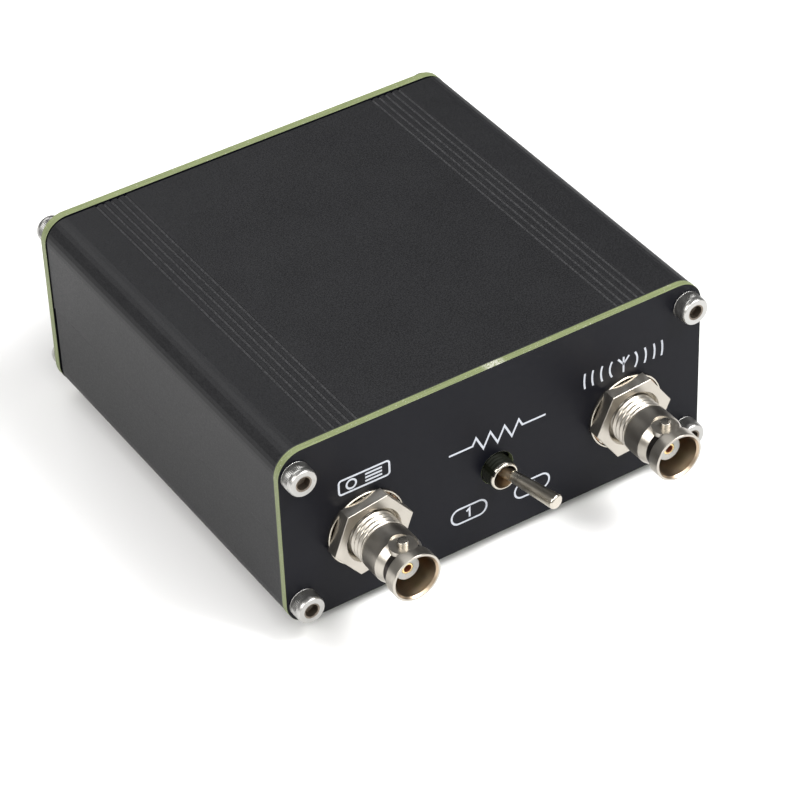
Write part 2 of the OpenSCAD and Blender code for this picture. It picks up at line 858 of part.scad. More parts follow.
upper_shell();
lower_shell();
front_panel();
back_panel();
front_screws();
back_screws();
feet();
radio_jack_body();
radio_jack_insulator();
radio_jack_contact();
radio_jack_nut();
radio_jack_washer();
antenna_jack_body();
antenna_jack_insulator();
antenna_jack_contact();
antenna_jack_nut();
antenna_jack_washer();
switch_bushing();
switch_frame();
switch_case();
switch_terminals();
rocker_contact();
toggle_lever();
lever_spring();
lever_plunger();
main_board();
inductor_core();
inductor_winding();
inductor_spacer();
inductor_clamp_washer();
inductor_clamp_screw();
inductor_clamp_nut();
matching_capacitors();
radio_lead();
antenna_lead();
ground_leads();
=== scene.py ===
"""Looks of a small antenna tuner: a split extruded case between two circuit-board end panels,
with two bayonet jacks and an impedance toggle switch on the front. Lengths are in millimetres
until a piece is built."""

import json
import math

import bpy
import bmesh
from mathutils import Matrix, Vector
from mathutils.geometry import tessellate_polygon


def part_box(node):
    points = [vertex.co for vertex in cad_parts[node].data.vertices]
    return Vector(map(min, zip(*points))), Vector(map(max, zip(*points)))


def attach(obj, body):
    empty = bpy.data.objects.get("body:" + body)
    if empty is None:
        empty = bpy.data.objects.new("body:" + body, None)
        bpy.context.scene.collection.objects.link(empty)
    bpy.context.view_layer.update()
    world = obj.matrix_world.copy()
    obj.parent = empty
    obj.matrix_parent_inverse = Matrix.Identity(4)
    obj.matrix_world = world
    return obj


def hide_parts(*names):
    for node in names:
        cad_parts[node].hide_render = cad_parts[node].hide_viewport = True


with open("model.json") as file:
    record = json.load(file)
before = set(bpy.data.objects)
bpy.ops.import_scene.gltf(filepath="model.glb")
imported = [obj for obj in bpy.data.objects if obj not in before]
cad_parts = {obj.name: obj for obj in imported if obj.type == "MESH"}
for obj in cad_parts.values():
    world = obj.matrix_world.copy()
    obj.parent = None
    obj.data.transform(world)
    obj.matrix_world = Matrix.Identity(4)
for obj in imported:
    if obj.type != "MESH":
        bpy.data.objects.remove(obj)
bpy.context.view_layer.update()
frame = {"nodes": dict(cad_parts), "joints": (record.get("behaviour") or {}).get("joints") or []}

MM = 0.001
SMALL = 1e-6


# ---------- places, from the frame ----------


def low_mm(node):
    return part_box(node)[0] / MM


def high_mm(node):
    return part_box(node)[1] / MM


def middle_mm(node):
    return (low_mm(node) + high_mm(node)) / 2


def joint(name):
    return next(j for j in frame["joints"] if j["name"] == name)


SCREW_HEAD_R = 2.75
CASE_INSET = 0.2
CASE_R = 4.4
PANEL_LOW = low_mm("front_panel")
PANEL_HIGH = high_mm("front_panel")
FRONT_Y = PANEL_LOW.y
BACK_Y = high_mm("back_panel").y
PANEL_W = PANEL_HIGH.x - PANEL_LOW.x
PANEL_H = PANEL_HIGH.z - PANEL_LOW.z
PANEL_T = PANEL_HIGH.y - PANEL_LOW.y
PANEL_MID_Z = (PANEL_LOW.z + PANEL_HIGH.z) / 2
SCREW_X = high_mm("front_screws").x - SCREW_HEAD_R
SCREW_Z = high_mm("front_screws").z - SCREW_HEAD_R - PANEL_MID_Z
JACKS = {side: middle_mm(side + "_jack_insulator") for side in ("radio", "antenna")}
TOGGLE = middle_mm("switch_bushing")
THROW = joint("lever_throw")
PIVOT = Vector(THROW["pos_m"]) / MM
LEVER_TURN = -THROW["range_deg"][0] / 2


def out_of_front(x, z, depth=0.0):
    """Placement on the front face: local +Z points out of the panel and local Y is up."""
    turn = Matrix(((1, 0, 0), (0, 0, -1), (0, 1, 0))).to_4x4()
    return Matrix.Translation((x, FRONT_Y + depth, z)) @ turn


def out_of_back(x, z):
    """Placement on the back face: local +Z points out of the panel and local Y is up."""
    turn = Matrix(((-1, 0, 0), (0, 0, 1), (0, 1, 0))).to_4x4()
    return Matrix.Translation((x, BACK_Y, z)) @ turn


def spin(degrees, axis="Z"):
    return Matrix.Rotation(math.radians(degrees), 4, axis)


def shift(x, y, z):
    return Matrix.Translation((x, y, z))


# ---------- outlines ----------


def fillet(corners, step_deg=12):
    """Points of a closed outline whose corners are (x, y) or (x, y, radius)."""
    points = []
    for i, corner in enumerate(corners):
        here = Vector(corner[:2])
        radius = corner[2] if len(corner) > 2 else 0
        if radius <= 0:
            points.append(here)
            continue
        to_last = (Vector(corners[i - 1][:2]) - here).normalized()
        to_next = (Vector(corners[(i + 1) % len(corners)][:2]) - here).normalized()
        half = to_last.angle(to_next) / 2
        centre = here + (to_last + to_next).normalized() * (radius / math.sin(half))
        start = here + to_last * (radius / math.tan(half)) - centre
        side = to_last.x * to_next.y - to_last.y * to_next.x
        turn = math.copysign(math.pi - 2 * half, -side)
        steps = max(2, math.ceil(math.degrees(abs(turn)) / step_deg))
        points += [centre + Matrix.Rotation(turn * k / steps, 2) @ start for k in range(steps + 1)]
    return points


def arc(x, y, radius, start_deg, sweep_deg, steps):
    angles = [math.radians(start_deg + sweep_deg * k / steps) for k in range(steps + 1)]
    return [Vector((x + radius * math.cos(a), y + radius * math.sin(a))) for a in angles]


def hole(x, y, radius, steps=64):
    """A clockwise circle."""
    return arc(x, y, radius, 0, -360, steps)[:-1]


def rounded_rect(w, h, r):
    corners = [(w / 2, -h / 2, r), (w / 2, h / 2, r), (-w / 2, h / 2, r), (-w / 2, -h / 2, r)]
    return fillet(corners, 5)


def inset(loop, distance):
    """The outline moved to its left, which is into the material."""
    moved = []
    for i, here in enumerate(loop):
        along = (here - loop[i - 1]).normalized()
        onward = (loop[(i + 1) % len(loop)] - here).normalized()
        left = Vector((-along.y, along.x))
        left_next = Vector((-onward.y, onward.x))
        moved.append(here + (left + left_next) * (distance / (1 + left.dot(left_next))))
    return moved


LONG_SIDE = 0.2
GUARD = 0.03


def guard(outline, closed=True):
    """The outline with a point just inside each end of its long sides, so that the rounding
    next to a flat or a cylinder doesn't bend the shading of its whole length."""
    guarded = []
    for i, here in enumerate(outline):
        guarded.append(tuple(here))
        after = outline[(i + 1) % len(outline)]
        length = math.dist(here[:2], after[:2])
        if length > LONG_SIDE and (closed or i < len(outline) - 1):
            for share in (GUARD / length, 1 - GUARD / length):
                guarded.append((*(a + (b - a) * share for a, b in zip(here[:2], after[:2])), *here[2:]))
    return guarded


# ---------- surfaces: points, and faces grouped by look ----------


def slab(loops, low, high, edge, edge_steps=3):
    """An extruded outline with rounded rims; its sides and its ends are two groups.
    The first loop runs anticlockwise and the holes clockwise."""
    loops = [[Vector(point) for point in guard(loop)] for loop in loops]
    angles = [math.pi / 2 * k / edge_steps for k in range(edge_steps + 1)]
    rim = [(edge * (1 - math.sin(a)), edge * (1 - math.cos(a))) for a in angles]
    rings = [(low + h, d) for h, d in reversed(rim)] + [(high - h, d) for h, d in rim]
    points = [(p.x, p.y, z) for z, d in rings for loop in loops for p in inset(loop, d)]
    count = sum(len(loop) for loop in loops)
    sides = []
    start = 0
    for loop in loops:
        for ring in range(len(rings) - 1):
            base = ring * count + start
            for i in range(len(loop)):
                j = (i + 1) % len(loop)
                sides.append((base + i, base + j, base + count + j, base + count + i))
        start += len(loop)
    last = (len(rings) - 1) * count
    flat = [[Vector((p.x, p.y, 0)) for p in inset(loop, edge)] for loop in loops]
    ends = []
    for triangle in tessellate_polygon(flat):
        ends.append(tuple(triangle))
        ends.append(tuple(last + i for i in triangle))
    return points, [sides, ends]


def lathe(outline, steps=96, closed=True, spread=None):
    """An outline of (radius, height) or (radius, height, look) turned about +Z; look is that of
    the band which starts there. spread(angle, radius, height) may give another radius."""
    outline = guard(outline, closed)
    points = []
    rows = []
    for radius, height, *_ in outline:
        if radius < SMALL:
            rows.append([len(points)] * steps)
            points.append((0, 0, height))
            continue
        rows.append(list(range(len(points), len(points) + steps)))
        for k in range(steps):
            angle = 2 * math.pi * k / steps
            far = spread(angle, radius, height) if spread else radius
            points.append((far * math.cos(angle), far * math.sin(angle), height))
    groups = [[], [], []]
    for i, row in enumerate(rows if closed else rows[:-1]):
        above = rows[(i + 1) % len(rows)]
        look = outline[i][2] if len(outline[i]) > 2 else 0
        for k in range(steps):
            n = (k + 1) % steps
            face = list(dict.fromkeys((row[k], row[n], above[n], above[k])))
            if len(face) > 2:
                groups[look].append(face)
    return points, groups


def hex_radius(angle, flats):
    """Distance from the middle of a hexagon to its side; a corner is at angle 0."""
    from_corner = (angle + math.pi / 6) % (math.pi / 3) - math.pi / 6
    return flats / 2 / math.cos(math.pi / 6 - abs(from_corner))


CREST_SHARE = 0.15
FLANK_SHARE = 0.75


def thread_radius(angle, height, crest, pitch, depth):
    """Radius of a right-hand thread with narrow flat crests."""
    phase = (height / pitch - angle / (2 * math.pi)) % 1
    from_crest = abs(phase - 0.5) * 2
    return crest - depth * min(1, max(0, (from_crest - CREST_SHARE) / FLANK_SHARE))


def rise(radius, low, high, step):
    """Outline points straight up, close enough together to carry a thread."""
    count = max(1, round((high - low) / step))
    return [(radius, low + (high - low) * k / count) for k in range(count + 1)]


def rounding(radius, height, r, start_deg, sweep_deg, steps=4, look=0):
    """Outline points round a corner whose arc is centred r inside it."""
    return [(p.x, p.y, look) for p in arc(radius, height, r, start_deg, sweep_deg, steps)]


def box_surface(low, high):
    corners = [(x, y, z) for x in (low[0], high[0]) for y in (low[1], high[1]) for z in (low[2], high[2])]
    faces = [(0, 1, 3, 2), (4, 6, 7, 5), (0, 4, 5, 1), (2, 3, 7, 6), (0, 2, 6, 4), (1, 5, 7, 3)]
    return corners, [faces]


# ---------- pieces ----------


def finish_shading(mesh, sharp_deg):
    mesh.polygons.foreach_set("use_smooth", [True] * len(mesh.polygons))
    mesh.set_sharp_from_angle(angle=math.radians(sharp_deg))
    mesh.update()


class Piece:
    """Gathers surfaces in millimetres and makes them one object."""

    def __init__(self):
        self.points = []
        self.faces = []
        self.looks = []

    def add(self, surface, place=Matrix(), looks=(0, 1, 2)):
        points, groups = surface
        base = len(self.points)
        self.points += [place @ Vector(point) for point in points]
        for look, group in zip(looks, groups):
            self.faces += [[base + i for i in face] for face in group]
            self.looks += [look] * len(group)
        return self

    def build(self, name, looks, sharp_deg=32):
        mesh = bpy.data.meshes.new(name)
        mesh.from_pydata([p * MM for p in self.points], [], self.faces)
        for look in looks:
            mesh.materials.append(look)
        mesh.polygons.foreach_set("material_index", self.looks)
        solid = bmesh.new()
        solid.from_mesh(mesh)
        bmesh.ops.recalc_face_normals(solid, faces=solid.faces)
        solid.to_mesh(mesh)
        solid.free()
        finish_shading(mesh, sharp_deg)
        piece = bpy.data.objects.new(name, mesh)
        bpy.context.scene.collection.objects.link(piece)
        return piece


def carve(piece, cutter, sharp_deg=32):
    """Takes the cutter's shape out of the piece; the cutter goes."""
    step = piece.modifiers.new("carve", "BOOLEAN")
    step.object = cutter
    step.operation = "DIFFERENCE"
    step.solver = "EXACT"
    bpy.context.view_layer.update()
    evaluated = piece.evaluated_get(bpy.context.evaluated_depsgraph_get())
    carved = bpy.data.meshes.new_from_object(evaluated)
    piece.modifiers.clear()
    piece.data = carved
    finish_shading(carved, sharp_deg)
    bpy.data.objects.remove(cutter)


def settle(piece, body, node):
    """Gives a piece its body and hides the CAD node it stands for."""
    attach(piece, body)
    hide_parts(node)


# ---------- materials ----------


class Look:
    """A node material: one Principled shader, and short ways to add nodes to it."""

    def __init__(self, name, color, roughness, metallic=0.0, **sockets):
        self.material = bpy.data.materials.new(name)
        self.material.use_nodes = True
        self.tree = self.material.node_tree
        self.shader = self.tree.nodes["Principled BSDF"]
        self.set("Base Color", (*color, 1))
        self.set("Roughness", roughness)
        self.set("Metallic", metallic)
        for socket, value in sockets.items():
            self.set(socket.replace("_", " "), value)
        self.place = self.tree.nodes.new("ShaderNodeTexCoord").outputs["Object"]

    def set(self, socket, value):
        self.shader.inputs[socket].default_value = value

    def node(self, kind, inputs, **options):
        made = self.tree.nodes.new(kind)
        for name, value in options.items():
            setattr(made, name, value)
        for socket, value in inputs.items():
            if isinstance(value, bpy.types.NodeSocket):
                self.tree.links.new(value, made.inputs[socket])
            else:
                made.inputs[socket].default_value = value
        return made

    def stretched(self, *scale):
        return self.node("ShaderNodeMapping", {"Vector": self.place, "Scale": scale}).outputs["Vector"]

    def noise(self, size_mm, vector=None, detail=3.0):
        """Noise whose features are about size_mm across, as a value from 0 to 1."""
        inputs = {"Vector": vector or self.place, "Scale": 1 / (size_mm * MM), "Detail": detail}
        return self.node("ShaderNodeTexNoise", inputs).outputs["Fac"]

    def ramp(self, value, low, high, out_low=0.0, out_high=1.0):
        inputs = {"Value": value, 1: low, 2: high, 3: out_low, 4: out_high}
        return self.node("ShaderNodeMapRange", inputs).outputs["Result"]

    def maths(self, operation, a, b=0.0):
        return self.node("ShaderNodeMath", {0: a, 1: b}, operation=operation).outputs[0]

    def axis(self, name):
        """A coordinate in metres."""
        return self.node("ShaderNodeSeparateXYZ", {"Vector": self.place}).outputs[name]

    def mix(self, factor, a, b):
        """A colour between a and b, each a colour or a socket."""
        a, b = (c if isinstance(c, bpy.types.NodeSocket) else (*c, 1) for c in (a, b))
        return self.node("ShaderNodeMix", {0: factor, 6: a, 7: b}, data_type="RGBA").outputs[2]

    def drive(self, socket, value):
        self.tree.links.new(value, self.shader.inputs[socket])
        return self

    def bump(self, height, depth_mm, strength=1.0):
        inputs = {"Height": height, "Distance": depth_mm * MM, "Strength": strength}
        return self.drive("Normal", self.node("ShaderNodeBump", inputs).outputs["Normal"])


def anodised_black():
    """Satin black anodised extrusion: a fine leathery grain, faint die lines along the case, and
    paler grooves and seam: a speckled painted highlight along them."""
    look = Look("anodised_black", (0.012, 0.012, 0.012), 0.42)
    look.set("Specular IOR Level", 0.22)
    grain = look.noise(0.26, detail=4)
    patches = look.noise(9.0, detail=2)
    lines = look.noise(0.5, look.stretched(1, 0.01, 1), detail=2)
    cloud = look.maths("MULTIPLY", patches, 0.25)
    tone = look.ramp(look.maths("ADD", look.maths("MULTIPLY", grain, 2), cloud), 0.87, 1.37)
    body = look.mix(tone, (0.0055, 0.0055, 0.0064), (0.015, 0.0152, 0.0165))
    from_middle = look.maths("ABSOLUTE", look.maths("SUBTRACT", look.axis("Z"), PANEL_MID_Z * MM))
    top = (PANEL_H / 2 - CASE_INSET) * MM
    below = look.maths("SUBTRACT", top, from_middle)
    in_groove = look.ramp(below, 0.1 * MM, 0.2 * MM)
    flat_w = (PANEL_W / 2 - CASE_R - CASE_INSET) * MM
    on_flat = look.ramp(look.maths("ABSOLUTE", look.axis("X")), flat_w - 0.5 * MM, flat_w, 1, 0)
    outside = look.ramp(below, 0.5 * MM, 0.6 * MM, 1, 0)
    # painted highlight: the grooves and the seam get a paler colour, broken up by noise
    painted_highlight = look.maths("MULTIPLY", look.maths("MULTIPLY", in_groove, outside), on_flat)
    at_seam = look.ramp(from_middle, 0.1 * MM, 0.2 * MM, 0.5, 0)
    painted_highlight = look.maths("MAXIMUM", painted_highlight, at_seam)
    painted_highlight = look.maths("MULTIPLY", painted_highlight, look.ramp(look.noise(0.4, detail=3), 0.38, 0.62, 0.35, 1))
    look.drive("Base Color", look.mix(painted_highlight, body, (0.062, 0.062, 0.065)))
    look.drive("Roughness", look.ramp(grain, 0.35, 0.65, 0.4, 0.54))
    return look.bump(look.maths("ADD", grain, look.maths("MULTIPLY", lines, 0.3)), 0.022, 0.8).material


def mask_black():
    """Matt black solder mask: nearly even, with a faint orange peel."""
    look = Look("mask_black", (0.012, 0.012, 0.014), 0.4)
    look.set("Specular IOR Level", 0.105)
    peel = look.noise(1.6, detail=2)
    fine = look.noise(0.22, detail=3)
    look.drive("Base Color", look.mix(fine, (0.0018, 0.002, 0.004), (0.0045, 0.0048, 0.0075)))
    look.drive("Roughness", look.ramp(peel, 0.3, 0.7, 0.38, 0.44))
    return look.bump(look.maths("ADD", peel, look.maths("MULTIPLY", fine, 0.2)), 0.008, 0.5).material


REAR_DARK_BAND = 0.32
SCUFF_IN = 1.2
SCUFF_OUT = 2.4


def board_edge():
    """Cut edge of glass-fibre board: olive, thin fibre layers and pale frayed specks. The front
    panel's has one scuff in the middle, and a near-black band along its rear."""
    look = Look("board_edge", (0.29, 0.34, 0.17), 0.55)
    layers = look.noise(0.16, look.stretched(0.02, 1, 0.02), detail=2)
    specks = look.noise(0.25, detail=3)
    base = look.mix(look.ramp(layers, 0.35, 0.65), (0.125, 0.15, 0.065), (0.185, 0.215, 0.095))
    pale = look.ramp(specks, 0.62, 0.75)
    from_middle = look.maths("ABSOLUTE", look.axis("X"))
    in_middle = look.ramp(from_middle, SCUFF_IN * MM, SCUFF_OUT * MM, 1, 0)
    scuff = look.maths("MULTIPLY", in_middle, look.ramp(specks, 0.4, 0.55))
    front_end = PANEL_HIGH.y * MM
    at_front = look.ramp(look.axis("Y"), front_end, front_end + MM, 1, 0)
    pale = look.maths("MAXIMUM", pale, look.maths("MULTIPLY", scuff, at_front))
    painted = look.mix(pale, base, (0.42, 0.42, 0.36))
    # the rear 0.32 mm of the front panel's edge is coloured near black
    rear_band_low = front_end - REAR_DARK_BAND * MM
    rear_dark_band = look.maths("MULTIPLY", look.ramp(look.axis("Y"), rear_band_low, rear_band_low + 0.1 * MM), at_front)
    look.drive("Base Color", look.mix(rear_dark_band, painted, (0.012, 0.014, 0.012)))
    return look.bump(look.maths("ADD", layers, specks), 0.02, 0.5).material


def turned_metal(name, color, roughness, ring_mm=0.09, depth_mm=0.0012):
    """Plated metal turned on a lathe along Y: fine rings and a faint change in gloss."""
    look = Look(name, color, roughness, 1.0)
    rings = look.noise(ring_mm, look.stretched(0.02, 1, 0.02), detail=2)
    patches = look.noise(2.5, detail=2)
    look.drive("Roughness", look.ramp(patches, 0.3, 0.7, roughness * 0.9, roughness * 1.12))
    dark = tuple(c * 0.9 for c in color)
    look.drive("Base Color", look.mix(look.ramp(rings, 0.3, 0.7), dark, color))
    return look.bump(rings, depth_mm, 0.6).material


def plain_metal(name, color, roughness, grain_mm=0.2, depth_mm=0.0012):
    """Stamped or plated metal with an even fine grain."""
    look = Look(name, color, roughness, 1.0)
    grain = look.noise(grain_mm, detail=4)
    look.drive("Roughness", look.ramp(grain, 0.3, 0.7, roughness * 0.85, roughness * 1.2))
    look.drive("Base Color", look.mix(grain, tuple(c * 0.92 for c in color), color))
    return look.bump(grain, depth_mm, 0.4).material


def moulded(name, color, roughness, grain_mm=0.4, depth_mm=0.005, **sockets):
    """Moulded, dipped or painted material with a soft grain."""
    look = Look(name, color, roughness, 0.0, **sockets)
    grain = look.noise(grain_mm, detail=3)
    look.drive("Base Color", look.mix(grain, tuple(c * 0.85 for c in color), color))
    look.drive("Roughness", look.ramp(grain, 0.3, 0.7, roughness * 0.85, roughness * 1.15))
    return look.bump(grain, depth_mm, 0.5).material


def clear_bumper():
    """Clear soft plastic with a faint haze."""
    look = Look("clear_bumper", (0.93, 0.95, 0.96), 0.12, Transmission_Weight=0.85, IOR=1.48)
    haze = look.noise(2.5, detail=3)
    look.drive("Roughness", look.ramp(haze, 0.3, 0.7, 0.08, 0.2))
    return look.bump(haze, 0.01, 0.4).material


def board_mask():
    """Green solder mask over tracks."""
    look = Look("board_mask", (0.02, 0.09, 0.05), 0.35)
    tracks = look.ramp(look.noise(5.0, detail=0), 0.5, 0.52)
    look.drive("Base Color", look.mix(tracks, (0.012, 0.06, 0.035), (0.03, 0.12, 0.07)))
    return look.bump(tracks, 0.03, 0.6).material


def white_ink():
    """Screen-printed ink: off-white and uneven at the scale of the mesh."""
    look = Look("white_ink", (0.62, 0.64, 0.68), 0.55)
    weave = look.ramp(look.noise(0.16, detail=2), 0.35, 0.65)
    look.drive("Base Color", look.mix(weave, (0.36, 0.38, 0.42), (0.5, 0.52, 0.56)))
    return look.bump(weave, 0.006, 0.5).material


ANODISED = anodised_black()
MASK = mask_black()
EDGE = board_edge()
NICKEL = turned_metal("nickel", (0.47, 0.44, 0.39), 0.33)
# painted shade: a near-black copy of the nickel for the jack's neck groove and the ring's back face
NECK_PAINTED_SHADE = turned_metal("neck_painted_shade", (0.07, 0.062, 0.058), 0.35)
BRIGHT_NICKEL = plain_metal("bright_nickel", (0.54, 0.505, 0.44), 0.21)
# painted shade: a darker, warmer copy of the nickel for the jack's bore and mouth bevel and the bushing's
# mouth and cone
BORE_PAINTED_SHADE = turned_metal("bore_painted_shade", (0.46, 0.36, 0.26), 0.32)
# painted shade: a dark brown copy of the nickel for the washer's dish, underside and bore under the nut
DISH_PAINTED_SHADE = plain_metal("dish_painted_shade", (0.3, 0.2, 0.13), 0.22)
# painted shade: the toggle bushing's outside, down in its panel hole, coloured near black as shade and dark
# reflection
BUSHING_PAINTED_SHADE = moulded("bushing_painted_shade", (0.006, 0.007, 0.004), 0.55, Specular_IOR_Level=0.08)
LEVER_NICKEL = turned_metal("lever_nickel", (0.42, 0.39, 0.33), 0.3)
STAINLESS = plain_metal("stainless", (0.44, 0.435, 0.42), 0.33)
# painted shade: a dark brown copy of the screw metal for the hex socket
SOCKET_PAINTED_SHADE = plain_metal("socket", (0.2, 0.17, 0.14), 0.45)
# painted shade: dark red-brown inside the contact's hole
CONTACT_HOLE_PAINTED_SHADE = moulded("contact_hole_painted_shade", (0.2, 0.05, 0.02), 0.5)
GOLD = turned_metal("gold", (0.82, 0.66, 0.32), 0.24)
PTFE = moulded("ptfe", (0.52, 0.51, 0.48), 0.38, Subsurface_Weight=0.15)
INK = white_ink()


# ---------- case ----------

WALL = 1.8
CHANNEL_R = 2.7
CHANNEL_HOLE_R = 1.51
GROOVES = 5
GROOVE_PITCH = 1.5
GROOVE_START = 11.0
GROOVE_W = 0.7
GROOVE_DEPTH = 0.35
GROOVE_LIP_R = 0.12
SEAM_BEVEL = 0.05
LIP_T = 0.8
LIP_H = 1.2
LIP_GAP = 0.1
RAIL_IN = 1.55
RAIL_LOW = 8.75
RAIL_H = 1.0
CASE_EDGE = 0.08
SLAB_SHARP_DEG = 14


def half_case(side):
    """Section of the upper (1) or lower (-1) shell, and its screw holes, from the case's axis."""
    half_w = PANEL_W / 2 - CASE_INSET
    top = PANEL_H / 2 - CASE_INSET
    inner_w = half_w - WALL
    outer = [(half_w - SEAM_BEVEL, 0), (half_w, SEAM_BEVEL), (half_w, top, CASE_R)]
    for i in range(GROOVES):
        x = PANEL_W / 2 - GROOVE_START - i * GROOVE_PITCH
        outer.append((x + GROOVE_W / 2, top, GROOVE_LIP_R))
        outer.append((x, top - GROOVE_DEPTH))
        outer.append((x - GROOVE_W / 2, top, GROOVE_LIP_R))
    mirrored = [(-corner[0], *corner[1:]) for corner in reversed(outer)]
    if side > 0:
        seam = [(inner_w + LIP_T, 0), (inner_w + LIP_T, -LIP_H), (inner_w, -LIP_H)]
    else:
        lip = LIP_T + LIP_GAP
        seam = [(inner_w + lip, 0), (inner_w + lip, LIP_H + LIP_GAP), (inner_w, LIP_H + LIP_GAP)]
        rail_x = inner_w - RAIL_IN
        seam += [(inner_w, RAIL_LOW), (rail_x, RAIL_LOW), (rail_x, RAIL_LOW + RAIL_H)]
        seam += [(inner_w, RAIL_LOW + RAIL_H)]
    wall_deg = math.degrees(math.acos((inner_w - SCREW_X) / CHANNEL_R))
    inner_deg = 104
    channel = arc(SCREW_X, SCREW_Z, CHANNEL_R, -wall_deg, wall_deg + inner_deg - 360, 24)
    right = [Vector(p) for p in seam] + channel + [Vector((inner_w - CASE_R + WALL, top - WALL))]
    left = [Vector((-p.x, p.y)) for p in right]
    outline = fillet(outer + mirrored) + left + right[::-1]
    loops = [outline] + [hole(sign * SCREW_X, SCREW_Z, CHANNEL_HOLE_R) for sign in (1, -1)]
    if side > 0:
        return loops
    return [[Vector((p.x, -p.y)) for p in reversed(loop)] for loop in loops]


def build_case():
    for node, side in (("upper_shell", 1), ("lower_shell", -1)):
        length = high_mm(node).y - low_mm(node).y
        place = out_of_front(0, PANEL_MID_Z, PANEL_T)
        shell = Piece().add(slab(half_case(side), -length, 0, CASE_EDGE), place, (0, 0))
        shell = shell.build(node + "_extrusion", [ANODISED], SLAB_SHARP_DEG)
        settle(shell, "root", node)


# ---------- end panels ----------

PANEL_R = 5.0
PANEL_EDGE = 0.05
PANEL_SCREW_HOLE_R = 1.6
JACK_HOLE_R = 4.85
TOGGLE_HOLE_R = 3.35


def panel_loops():
    screws = [hole(sx * SCREW_X, sz * SCREW_Z, PANEL_SCREW_HOLE_R) for sx in (1, -1) for sz in (1, -1)]
    return [rounded_rect(PANEL_W, PANEL_H, PANEL_R)] + screws


def build_panels():
    loops = panel_loops()
    loops += [hole(jack.x, jack.z - PANEL_MID_Z, JACK_HOLE_R) for jack in JACKS.values()]
    loops.append(hole(0, TOGGLE.z - PANEL_MID_Z, TOGGLE_HOLE_R))
    front = Piece().add(slab(loops, -PANEL_T, 0, PANEL_EDGE), out_of_front(0, PANEL_MID_Z))
    front = front.build("front_panel_board", [EDGE, MASK], SLAB_SHARP_DEG)
    settle(front, "root", "front_panel")
    back = Piece().add(slab(panel_loops(), -PANEL_T, 0, PANEL_EDGE), out_of_back(0, PANEL_MID_Z))
    back = back.build("back_panel_board", [EDGE, MASK], SLAB_SHARP_DEG)
    settle(back, "root", "back_panel")


# ---------- screws and feet ----------

HEAD_H = 3.0
SCREW_R = 1.475
SCREW_LEN = 10.0
SOCKET_AF = 2.5
SOCKET_DEPTH = 1.6
SOCKET_EDGE = 0.12
HEAD_BOTTOM_EDGE = 0.15
KNURLS = 54
KNURL_DEPTH = 0.07
KNURL_END = 2.0
KNURL_LEAD = 0.05
SCREW_CHAMFER = 0.3
SOCKET_CONE = 0.4
SHOULDER = ((0, 2.1), (0.01, 2.35), (0.05, 2.6), (0.13, 2.85), (0.25, 3.0))
SCREW_TURNS = (12, 47, 31, 5)


def screw_radius(angle, radius, height):
    """Hexagonal inside the socket, knurled on the side of the head, round elsewhere."""
    if radius <= SOCKET_AF / 2 + SMALL:
        return hex_radius(angle, 2 * radius)
    if radius > SCREW_HEAD_R - SMALL and HEAD_BOTTOM_EDGE < height < KNURL_END + SMALL:
        phase = (angle * KNURLS / (2 * math.pi)) % 1
        return radius - KNURL_DEPTH * (1 - abs(2 * phase - 1))
    return radius


def screw_surface():
    floor = HEAD_H - SOCKET_DEPTH
    socket_r = SOCKET_AF / 2
    outline = [(0, -SCREW_LEN), (SCREW_R - SCREW_CHAMFER, -SCREW_LEN)]
    outline += [(SCREW_R, -SCREW_LEN + SCREW_CHAMFER), (SCREW_R, 0)]
    outline += [(SCREW_HEAD_R - HEAD_BOTTOM_EDGE, 0), (SCREW_HEAD_R, HEAD_BOTTOM_EDGE)]
    outline += [(SCREW_HEAD_R, HEAD_BOTTOM_EDGE + KNURL_LEAD), (SCREW_HEAD_R, KNURL_END)]
    outline += [(SCREW_HEAD_R - inward, height) for inward, height in SHOULDER]
    # the socket's rim, walls and floor take the painted shade
    outline += [(socket_r / math.cos(math.pi / 6) + SOCKET_EDGE, HEAD_H, 1)]
    outline += [(socket_r, HEAD_H - SOCKET_EDGE, 1), (socket_r, floor, 1), (0, floor - SOCKET_CONE, 1)]
    return lathe(outline, KNURLS * 4, closed=False, spread=screw_radius)


def build_screws(node, placement):
    screws = Piece()
    surface = screw_surface()
    corners = [(sx, sz) for sz in (1, -1) for sx in (-1, 1)]
    for (sx, sz), turn in zip(corners, SCREW_TURNS):
        screws.add(surface, placement(sx * SCREW_X, PANEL_MID_Z + sz * SCREW_Z) @ spin(turn))
    settle(screws.build(node + "_knurled", [STAINLESS, SOCKET_PAINTED_SHADE]), "root", node)


FOOT_X = 31.8
FOOT_REST_SHARE = 0.26
FOOT_STEPS = 16


def build_feet():
    low, high = low_mm("feet"), high_mm("feet")
    foot_h = high.z - low.z
    foot_r = high.x - FOOT_X
    rest_r = foot_r * 2 * FOOT_REST_SHARE
    centre = (foot_r**2 + foot_h**2 - rest_r**2) / (2 * foot_h)
    dome_r = math.hypot(rest_r, centre)
    outline = [(0, 0)]
    for k in range(FOOT_STEPS + 1):
        z = foot_h * k / FOOT_STEPS
        outline.append((math.sqrt(dome_r**2 - (z - centre) ** 2), z))
    outline.append((0, foot_h))
    dome = lathe(outline, steps=72, closed=False)
    feet = Piece()
    for x in (low.x + foot_r, high.x - foot_r):
        for y in (low.y + foot_r, high.y - foot_r):
            feet.add(dome, shift(x, y, low.z))
    settle(feet.build("clear_bumpers", [clear_bumper()]), "root", "feet")


# ---------- jacks, heights measured out of the panel's front face ----------

